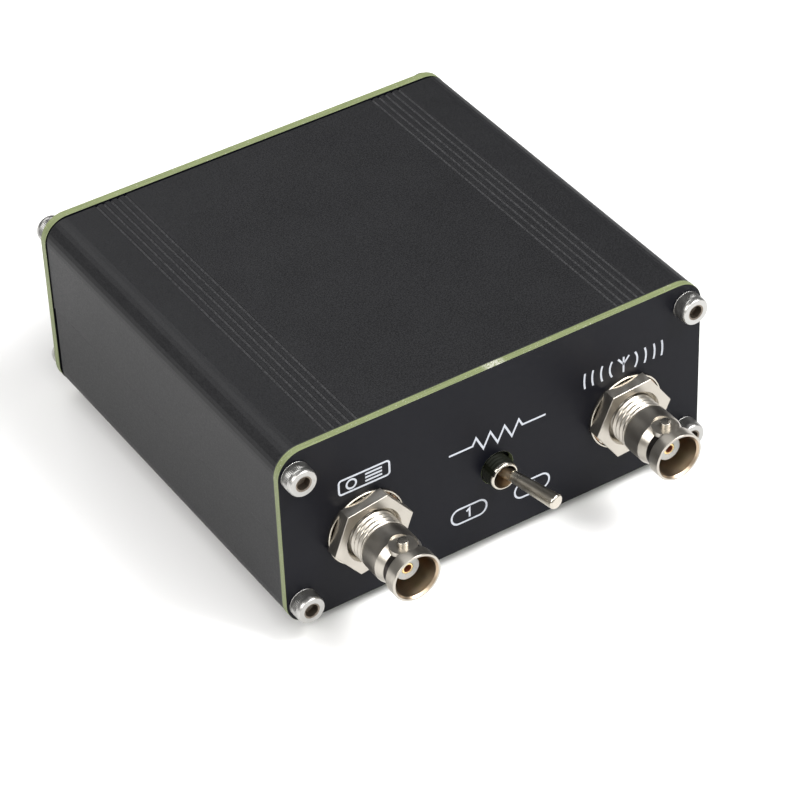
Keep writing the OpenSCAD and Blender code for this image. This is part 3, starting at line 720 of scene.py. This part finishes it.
JACK_REACH = 16.4
JACK_R = 4.8
THREAD_R = 4.75
THREAD_PITCH = 1.0
THREAD_DEPTH = 0.35
THREAD_LOW = -1.6
THREAD_HIGH = 6.2
RELIEF_END = 6.4
BEVEL_LOW = 10.6
BEVEL_HIGH = 12.3
NECK_R = 4.2
RING_LOW = 13.8
RING_EDGE = 0.2
RIM_ROUND = 0.15
MOUTH_BEVEL = 0.33
MOUTH_BEVEL_H = 0.4
BORE_R = 4.05
BORE_DEPTH = 8.6
LUG_Z = 12.2
LUG_R = 1.0
LUG_TOP = 5.5
LUG_EDGE = 0.12
LUG_CROWN = 0.04
POCKET_R = 2.5
POCKET_FLOOR = 4.4
PAD_R = 2.47
PAD_LOW = 3.3
PAD_HIGH = POCKET_FLOOR + 0.02
INSULATOR_R = 2.35
INSULATOR_TOP = 13.5
FIT_GAP = 0.02
CORE_ROUND = 0.18
CORE_BEVEL = 0.1
CORE_COLLAR_H = 0.8
CORE_COLLAR_IN = 0.4
CONTACT_R = 1.1
CONTACT_HOLE_R = 0.68
CONTACT_HOLE_DEPTH = 5
CONTACT_SUNK = 0.05
CONTACT_ROUND = 0.12
CONTACT_LIP = 0.1
FLANGE_R = 7.0
FLANGE_T = 2.2
TAIL_R = 3.6
TAIL_LEN = 3.0
TAIL_END = -PANEL_T - FLANGE_T - TAIL_LEN
CUP_LEN = 3.0
NUT_AF = 14.0
NUT_H = 2.4
NUT_EDGE = 0.07
NUT_FLARE = 0.75
NUT_FLARE_H = 0.5
NUT_PLAY = 0.05
NUT_TURN = {"radio": 8.5, "antenna": 4.5}
WASHER_T = 0.6
WASHER_R = 7.7
WASHER_RIM = 0.32
WASHER_DISH = 0.3
WASHER_BORE_R = 6.2
WASHER_LOW_EDGE = 0.06
WASHER_TOP_EDGE = 0.08
WASHER_INNER_EDGE = 0.05
WASHER_SLOPE = 0.12
TEETH = 14
TOOTH_W = 1.1
TOOTH_T = 0.12
TOOTH_ROOT = 5.1
TOOTH_END_GAP = 0.15
TOOTH_TWIST = 20


def jack_radius(angle, radius, height):
    """The threaded part of the jack body carries a helix."""
    if abs(radius - THREAD_R) > SMALL:
        return radius
    return thread_radius(angle, height, THREAD_R, THREAD_PITCH, THREAD_DEPTH)


def jack_body_surface():
    root = THREAD_R - THREAD_DEPTH
    floor = JACK_REACH - BORE_DEPTH
    outline = [(INSULATOR_R, TAIL_END), (TAIL_R, TAIL_END), (TAIL_R, -PANEL_T - FLANGE_T)]
    outline += [(FLANGE_R, -PANEL_T - FLANGE_T), (FLANGE_R, -PANEL_T), (root, -PANEL_T)]
    outline += rise(THREAD_R, THREAD_LOW, THREAD_HIGH, THREAD_PITCH / 12)
    outline += [(root, RELIEF_END)]
    outline += rounding(JACK_R - RIM_ROUND, RELIEF_END + RIM_ROUND, RIM_ROUND, -90, 90)
    outline += rounding(JACK_R - RIM_ROUND, BEVEL_LOW - RIM_ROUND / 2, RIM_ROUND, 0, 20, 2)
    # the neck and the ring's back face take the painted shade
    outline += [(NECK_R, BEVEL_HIGH, 2), (NECK_R, RING_LOW, 2)]
    outline += rounding(JACK_R - RING_EDGE, RING_LOW + RING_EDGE, RING_EDGE, -90, 90)
    outline += rounding(JACK_R - RIM_ROUND, JACK_REACH - RIM_ROUND, RIM_ROUND, 0, 90)
    # the mouth's bevel, the bore and its floor take the bore's painted shade
    outline += [(BORE_R + MOUTH_BEVEL, JACK_REACH, 1), (BORE_R, JACK_REACH - MOUTH_BEVEL_H, 1)]
    outline += [(BORE_R, floor, 1), (INSULATOR_R, floor, 1)]
    return lathe(outline, steps=192, spread=jack_radius)


def lug_surface():
    """A lug on its round pad, which fills the neck inside the pocket."""
    shoulder = LUG_TOP - LUG_EDGE - LUG_CROWN
    outline = [(0, PAD_LOW), (PAD_R, PAD_LOW), (PAD_R, PAD_HIGH), (LUG_R, PAD_HIGH)]
    outline += [(LUG_R, shoulder, 1)]
    outline += rounding(LUG_R - LUG_EDGE, shoulder, LUG_EDGE, 0, 80, look=1)
    outline += [(LUG_R / 2, LUG_TOP - LUG_CROWN / 4, 1), (0, LUG_TOP)]
    return lathe(outline, steps=48, closed=False)


def pocket_surface():
    """Cutter for the flat around a lug; its foot is the pocket's floor."""
    top = LUG_TOP + 1
    outline = [(0, POCKET_FLOOR), (POCKET_R, POCKET_FLOOR), (POCKET_R, top), (0, top)]
    return lathe(outline, steps=72, closed=False)


def bore_surface():
    """Cutter that keeps the pads out of the mouth."""
    radius = (BORE_R + NECK_R) / 2
    low = BEVEL_LOW - 1
    return lathe([(0, low), (radius, low), (radius, JACK_REACH), (0, JACK_REACH)], steps=144, closed=False)


def build_jack_body(side, on_jack):
    lug_places = [on_jack @ spin(turn) @ shift(0, 0, LUG_Z) @ spin(-90, "X") for turn in (0, 180)]
    looks = [NICKEL, BORE_PAINTED_SHADE, NECK_PAINTED_SHADE]
    body = Piece().add(jack_body_surface(), on_jack).build(side + "_jack_shell", looks)
    for place in lug_places:
        carve(body, Piece().add(pocket_surface(), place).build("cutter", []))
    settle(body, "root", side + "_jack_body")
    lugs = Piece()
    for place in lug_places:
        lugs.add(lug_surface(), place)
    lugs = lugs.build(side + "_jack_lugs", [NICKEL, BRIGHT_NICKEL])
    carve(lugs, Piece().add(bore_surface(), on_jack).build("cutter", []))
    settle(lugs, "root", side + "_jack_body")


def build_insulator(side, on_jack):
    low = TAIL_END - CORE_COLLAR_H
    high = TAIL_END - FIT_GAP
    outline = [(CONTACT_R, low), (TAIL_R - CORE_COLLAR_IN, low), (TAIL_R - CORE_COLLAR_IN, high)]
    outline += [(INSULATOR_R - FIT_GAP, high)]
    outline += rounding(INSULATOR_R - FIT_GAP - CORE_ROUND, INSULATOR_TOP - CORE_ROUND, CORE_ROUND, 0, 90)
    outline += [(CONTACT_R + CORE_BEVEL, INSULATOR_TOP), (CONTACT_R, INSULATOR_TOP - CORE_BEVEL)]
    core = Piece().add(lathe(outline), on_jack).build(side + "_jack_core", [PTFE])
    settle(core, "root", side + "_jack_insulator")


def build_contact(side, on_jack):
    low = TAIL_END - CUP_LEN
    top = INSULATOR_TOP - CONTACT_SUNK
    hole_end = top - CONTACT_HOLE_DEPTH
    outline = [(0, low), (CONTACT_R, low)]
    outline += rounding(CONTACT_R - CONTACT_ROUND, top - CONTACT_ROUND, CONTACT_ROUND, 0, 90)
    # the lip and the hole take the painted shade
    outline += rounding(CONTACT_HOLE_R + CONTACT_LIP, top - CONTACT_LIP, CONTACT_LIP, 90, 90, look=1)
    outline += [(CONTACT_HOLE_R, hole_end, 1), (0, hole_end, 1)]
    contact = Piece().add(lathe(outline, steps=48, closed=False), on_jack)
    contact = contact.build(side + "_jack_socket", [GOLD, CONTACT_HOLE_PAINTED_SHADE])
    settle(contact, "root", side + "_jack_contact")


def nut_radius(angle, radius, height):
    """Hexagonal outside, round in the bore."""
    return hex_radius(angle, 2 * radius) if radius > NUT_AF / 2 - 2 * NUT_EDGE else radius


def build_nut(side, on_jack):
    low, high = WASHER_T, WASHER_T + NUT_H
    bore = THREAD_R + NUT_PLAY
    outline = [(bore, low), (NUT_AF / 2, low), (NUT_AF / 2, high - NUT_EDGE)]
    outline += [(NUT_AF / 2 - NUT_EDGE, high), (bore + NUT_FLARE, high, 1), (bore, high - NUT_FLARE_H)]
    nut = Piece().add(lathe(outline, steps=144, spread=nut_radius), on_jack @ spin(NUT_TURN[side]))
    settle(nut.build(side + "_jack_hexnut", [NICKEL, BRIGHT_NICKEL]), "root", side + "_jack_nut")


def washer_surface():
    """Lock washer: a raised rim round a lower dish."""
    rim_in = WASHER_R - WASHER_RIM
    outline = [(WASHER_BORE_R, 0, 1), (WASHER_R - WASHER_LOW_EDGE, 0), (WASHER_R, WASHER_LOW_EDGE)]
    outline += [(WASHER_R, WASHER_T - WASHER_TOP_EDGE), (WASHER_R - WASHER_TOP_EDGE, WASHER_T)]
    outline += [(rim_in + WASHER_INNER_EDGE, WASHER_T), (rim_in, WASHER_T - WASHER_INNER_EDGE)]
    # the dish, the bore and the underside take the painted shade
    outline += [(rim_in - WASHER_SLOPE, WASHER_DISH, 1), (WASHER_BORE_R, WASHER_DISH, 1)]
    return lathe(outline, steps=144)


def build_washer(side, on_jack):
    washer = Piece().add(washer_surface(), on_jack)
    tooth_end = WASHER_R - WASHER_RIM - TOOTH_END_GAP
    tooth = box_surface((-TOOTH_W / 2, TOOTH_ROOT, -TOOTH_T / 2), (TOOTH_W / 2, tooth_end, TOOTH_T / 2))
    for k in range(TEETH):
        turn = spin(360 * k / TEETH) @ shift(0, 0, WASHER_DISH) @ spin(TOOTH_TWIST, "Y")
        washer.add(tooth, on_jack @ turn)
    looks = [BRIGHT_NICKEL, DISH_PAINTED_SHADE]
    settle(washer.build(side + "_lock_washer", looks), "root", side + "_jack_washer")


def build_jack(side):
    on_jack = out_of_front(JACKS[side].x, JACKS[side].z)
    build_jack_body(side, on_jack)
    build_insulator(side, on_jack)
    build_contact(side, on_jack)
    build_nut(side, on_jack)
    build_washer(side, on_jack)


# ---------- toggle switch ----------

BUSHING_R = 2.9
BUSHING_TIP_R = 2.8
BUSHING_TIP_H = 0.6
BUSHING_END = 3.0
LIP_FLAT = 0.1
LIP_STEPS = 5
MOUTH_R = 2.3
MOUTH_EDGE = 0.06
CONE_LOW_R = 1.431
CONE_LOW = 1.08
BUSHING_PITCH = 0.75
BUSHING_THREAD_DEPTH = 0.3
BUSHING_THREAD_LOW = -4.4
BUSHING_THREAD_GAP = 0.05
SWITCH_FACE = -5.9
HOLLOW_R = 2.2
SEAT_DEPTH = 0.6
COLLAR_R = 3.9
COLLAR_RISE = 0.42
COLLAR_TOP = -4.9
KEYWAY_DEG = 146
KEYWAY_W = 1.0
KEYWAY_FLOOR = 2.55
BALL_R = 1.7
BALL_PLAY = 0.08
LEVER_ROOT_R = 1.1
LEVER_NECK = 5.2
LEVER_TIP_R = 1.45
LEVER_REACH = 16.3
LEVER_ROUND = 0.5
LEVER_CROWN = 0.06
STEM_R = 1.15
STEM_TOP = -1.25
STEM_END = -6.0


def bushing_radius(angle, radius, height):
    """Threaded outside, with a keyway along it."""
    far = radius
    if abs(radius - BUSHING_R) < SMALL:
        far = thread_radius(angle, height, BUSHING_R, BUSHING_PITCH, BUSHING_THREAD_DEPTH)
    from_key = abs((angle - math.radians(KEYWAY_DEG) + math.pi) % (2 * math.pi) - math.pi)
    if far > KEYWAY_FLOOR and height > BUSHING_THREAD_LOW and from_key < KEYWAY_W / 2 / BUSHING_R:
        far = KEYWAY_FLOOR
    return far


def build_bushing():
    pivot = FRONT_Y - PIVOT.y
    seat_top = pivot + CONE_LOW
    outline = [(HOLLOW_R, SWITCH_FACE), (COLLAR_R, SWITCH_FACE + COLLAR_RISE), (COLLAR_R, COLLAR_TOP)]
    lip_low = BUSHING_END - BUSHING_TIP_H
    lip_w = BUSHING_TIP_R - MOUTH_R - LIP_FLAT
    outline += rise(BUSHING_R, BUSHING_THREAD_LOW, lip_low - BUSHING_THREAD_GAP, BUSHING_PITCH / 10)
    for step in range(LIP_STEPS + 1):
        turn = math.pi / 2 * step / LIP_STEPS
        radius = BUSHING_TIP_R - lip_w * (1 - math.cos(turn))
        outline.append((radius, lip_low + BUSHING_TIP_H * math.sin(turn), 2))
    # the mouth and the cone inside it take the bore's painted shade
    outline += [(MOUTH_R + MOUTH_EDGE, BUSHING_END, 2), (MOUTH_R, BUSHING_END - MOUTH_EDGE, 1)]
    outline += [(CONE_LOW_R, seat_top, 1), (BALL_R + BALL_PLAY, pivot, 1), (HOLLOW_R, pivot - SEAT_DEPTH, 1)]
    place = out_of_front(TOGGLE.x, TOGGLE.z)
    bushing = Piece().add(lathe(outline, steps=192, spread=bushing_radius), place)
    # the bushing's collar and thread take the near-black painted shade
    looks = [BUSHING_PAINTED_SHADE, BORE_PAINTED_SHADE, BRIGHT_NICKEL]
    settle(bushing.build("toggle_bushing", looks), "root", "switch_bushing")


def build_lever():
    outline = [(0, STEM_END), (STEM_R, STEM_END), (STEM_R, STEM_TOP)]
    start = math.degrees(math.acos(STEM_R / BALL_R))
    finish = math.degrees(math.acos(LEVER_ROOT_R / BALL_R))
    outline += rounding(0, 0, BALL_R, -start, start + finish, 20)
    outline += [(LEVER_ROOT_R, LEVER_NECK)]
    shoulder = LEVER_REACH - LEVER_ROUND - LEVER_CROWN
    outline += rounding(LEVER_TIP_R - LEVER_ROUND, shoulder, LEVER_ROUND, 0, 80, steps=8, look=1)
    outline += [(LEVER_TIP_R * 0.3, LEVER_REACH - LEVER_CROWN / 3, 1), (0, LEVER_REACH)]
    place = out_of_front(PIVOT.x, PIVOT.z, PIVOT.y - FRONT_Y) @ spin(LEVER_TURN, "Y")
    lever = Piece().add(lathe(outline, closed=False), place)
    lever = lever.build("toggle_bat", [LEVER_NICKEL, BRIGHT_NICKEL])
    settle(lever, "lever", "toggle_lever")


# ---------- marks on the front panel ----------

INK_T = 0.02
INK_LIFT = 0.001
STROKE_W = 0.38


def stroke(points, width=STROKE_W, closed=False):
    """A ribbon of ink along a path, as two offset loops."""
    points = [Vector(p) for p in points]
    count = len(points)
    left, right = [], []
    for i, here in enumerate(points):
        before = points[i - 1] if i or closed else None
        after = points[(i + 1) % count] if i < count - 1 or closed else None
        along_in = (here - before).normalized() if before else None
        along_out = (after - here).normalized() if after else None
        along_in = along_in or along_out
        along_out = along_out or along_in
        normal_in = Vector((-along_in.y, along_in.x))
        normal_out = Vector((-along_out.y, along_out.x))
        miter = (normal_in + normal_out) * (width / 2 / (1 + normal_in.dot(normal_out)))
        left.append(here + miter)
        right.append(here - miter)
    corners = [(p.x, p.y, h) for h in (INK_LIFT, INK_T) for row in (left, right) for p in row]
    faces = []
    for i in range(count if closed else count - 1):
        j = (i + 1) % count
        quad = [i, j, count + j, count + i]
        faces.append([k + 2 * count for k in quad])
        faces.append([i, j, j + 2 * count, i + 2 * count])
        faces.append([count + i, count + j, 3 * count + j, 3 * count + i])
    return corners, [faces]


def radio_sign():
    """A set with a dial and three lines."""
    dial_x, dial_r = -2.6, 0.95
    line_start, line_end, line_pitch = 0.2, 3.6, 0.75
    body_w, body_h, body_r = 10.2, 3.1, 0.6
    dial = arc(dial_x, 0, dial_r, 0, 360, 32)[:-1]
    lines = [[(line_start, k * line_pitch), (line_end, k * line_pitch)] for k in (-1, 0, 1)]
    body = rounded_rect(body_w, body_h, body_r)
    return [(body, True), (dial, True)] + [(line, False) for line in lines]


def impedance_sign():
    """A zigzag resistor with its leads."""
    peaks = 7
    pitch = 1.5
    peak_h = 1.5
    lead_end = 10.2
    half = peaks * pitch / 2
    zigzag = [(-lead_end, 0), (-half, 0)]
    for k in range(peaks):
        zigzag.append((-half + (k + 0.5) * pitch, peak_h if k % 2 == 0 else -peak_h))
    zigzag += [(half, 0), (lead_end, 0)]
    return [(zigzag, False)]


def antenna_sign():
    """A mast with a fork, and waves to both sides."""
    half_h = 1.7
    fork_w, fork_low, fork_high = 2.4, 0.1, 1.6
    widest_deg = 35
    mast = [(0, -half_h), (0, half_h)]
    fork = [(-fork_w / 2, fork_high), (0, fork_low), (fork_w / 2, fork_high)]
    marks = [(mast, False), (fork, False)]
    for radius in (3.0, 4.9, 6.8, 8.5):
        half_deg = min(widest_deg, math.degrees(math.asin(half_h / radius)))
        for middle in (0, 180):
            marks.append((arc(0, 0, radius, middle - half_deg, 2 * half_deg, 12), False))
    return marks


def number_sign(digit):
    """A number in a rounded frame."""
    frame_w, frame_h, frame_r = 7.4, 3.3, 1.6
    frame_mark = (rounded_rect(frame_w, frame_h, frame_r), True)
    if digit == 1:
        return [frame_mark, ([(-0.55, 0.45), (0.1, 0.95), (0.1, -1.0)], False)]
    two = arc(0, 0.4, 0.6, 165, -200, 12) + [Vector((-0.62, -0.9)), Vector((0.68, -0.9))]
    return [frame_mark, (two, False)]


def build_marks():
    """Each sign has its middle's x and its height above the panel's lower edge."""
    signs = [
        (-27.2, 26.0, radio_sign()),
        (0.2, 22.4, impedance_sign()),
        (27.2, 25.85, antenna_sign()),
        (-6.1, 7.85, number_sign(1)),
        (7.35, 7.45, number_sign(2)),
    ]
    marks = Piece()
    for x, height, sign in signs:
        for path, closed in sign:
            marks.add(stroke(path, closed=closed), out_of_front(x, PANEL_LOW.z + height))
    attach(marks.build("panel_marks", [INK]), "root")


# ---------- the rest of the CAD nodes ----------


def dress_inner_nodes():
    tinned = plain_metal("tinned", (0.66, 0.66, 0.64), 0.3)
    nylon = moulded("nylon", (0.72, 0.7, 0.6), 0.4, Subsurface_Weight=0.2)
    wire = moulded("wire_insulation", (0.012, 0.012, 0.013), 0.35)
    looks = {
        "switch_frame": tinned,
        "switch_terminals": tinned,
        "lever_spring": tinned,
        "ground_leads": tinned,
        "switch_case": moulded("phenolic", (0.02, 0.04, 0.09), 0.4),
        "rocker_contact": GOLD,
        "lever_plunger": nylon,
        "inductor_spacer": nylon,
        "inductor_clamp_washer": nylon,
        "inductor_clamp_screw": nylon,
        "inductor_clamp_nut": nylon,
        "main_board": board_mask(),
        "inductor_core": moulded("core_paint", (0.4, 0.035, 0.02), 0.4),
        "inductor_winding": plain_metal("enamelled_copper", (0.62, 0.24, 0.1), 0.25),
        "matching_capacitors": moulded("dipped_coating", (0.24, 0.09, 0.03), 0.22),
        "radio_lead": wire,
        "antenna_lead": wire,
    }
    for name, look in looks.items():
        mesh = frame["nodes"][name].data
        mesh.materials.clear()
        mesh.materials.append(look)


# ---------- camera, floor and light ----------

CAMERA_AT = (-250.18, -411.84, 397.79)
CAMERA_AZIMUTH = -31.4855
CAMERA_ELEVATION = 38.823
CAMERA_ROLL = -2.3498
CAMERA_LENS = 151.32
SENSOR_W = 36
FLOOR_HALF = 3000
LIGHT_AIM = Vector((0, 0, 20))


def build_camera():
    data = bpy.data.cameras.new("camera")
    data.lens = CAMERA_LENS
    data.sensor_width = SENSOR_W
    data.clip_start = 0.01
    data.clip_end = 20
    camera = bpy.data.objects.new("camera", data)
    bpy.context.scene.collection.objects.link(camera)
    turn = spin(CAMERA_AZIMUTH) @ spin(90 - CAMERA_ELEVATION, "X") @ spin(CAMERA_ROLL)
    camera.matrix_world = Matrix.Translation(Vector(CAMERA_AT) * MM) @ turn
    bpy.context.scene.camera = camera


def area_light(name, location, size, power, color=(1, 1, 1)):
    """A soft rectangular light that faces the middle of the object; lengths in metres, power
    in watts."""
    data = bpy.data.lights.new(name, "AREA")
    data.shape = "RECTANGLE"
    data.size, data.size_y = size
    data.energy = power
    data.color = color
    light = bpy.data.objects.new(name, data)
    bpy.context.scene.collection.objects.link(light)
    light.location = location
    aim = LIGHT_AIM * MM - light.location
    light.rotation_mode = "QUATERNION"
    light.rotation_quaternion = aim.to_track_quat("-Z", "Y")


def build_stage():
    floor_look = Look("floor", (0.86, 0.86, 0.86), 0.6)
    cloudy = floor_look.noise(60, detail=2)
    floor_look.drive("Base Color", floor_look.mix(cloudy, (0.86, 0.86, 0.86), (0.88, 0.88, 0.88)))
    corners = [(x * FLOOR_HALF, y * FLOOR_HALF, 0) for x, y in ((-1, -1), (1, -1), (1, 1), (-1, 1))]
    surface = (corners, [[(0, 1, 2, 3)]])
    floor = Piece().add(surface).build("floor", [floor_look.material])
    area_light("key", (0.55, -0.5, 0.95), (0.6, 0.5), 16)
    area_light("strip", (-0.12, 0.75, 0.85), (0.8, 0.4), 3.5)
    area_light("floor_wash", (0.1, -1.2, 1.3), (1.6, 1.0), 20)
    area_light("left_wash", (-1.0, -0.25, 0.8), (0.8, 0.8), 13, (1, 0.985, 0.96))
    world = bpy.data.worlds.new("studio")
    bpy.context.scene.world = world
    world.use_nodes = True
    background = world.node_tree.nodes["Background"]
    background.inputs["Color"].default_value = (1, 1, 1, 1)
    background.inputs["Strength"].default_value = 0.18
    bpy.context.scene.view_settings.view_transform = "Standard"


build_case()
build_panels()
build_screws("front_screws", out_of_front)
build_screws("back_screws", out_of_back)
build_feet()
for jack_side in JACKS:
    build_jack(jack_side)
build_bushing()
build_lever()
build_marks()
dress_inner_nodes()
build_camera()
build_stage()
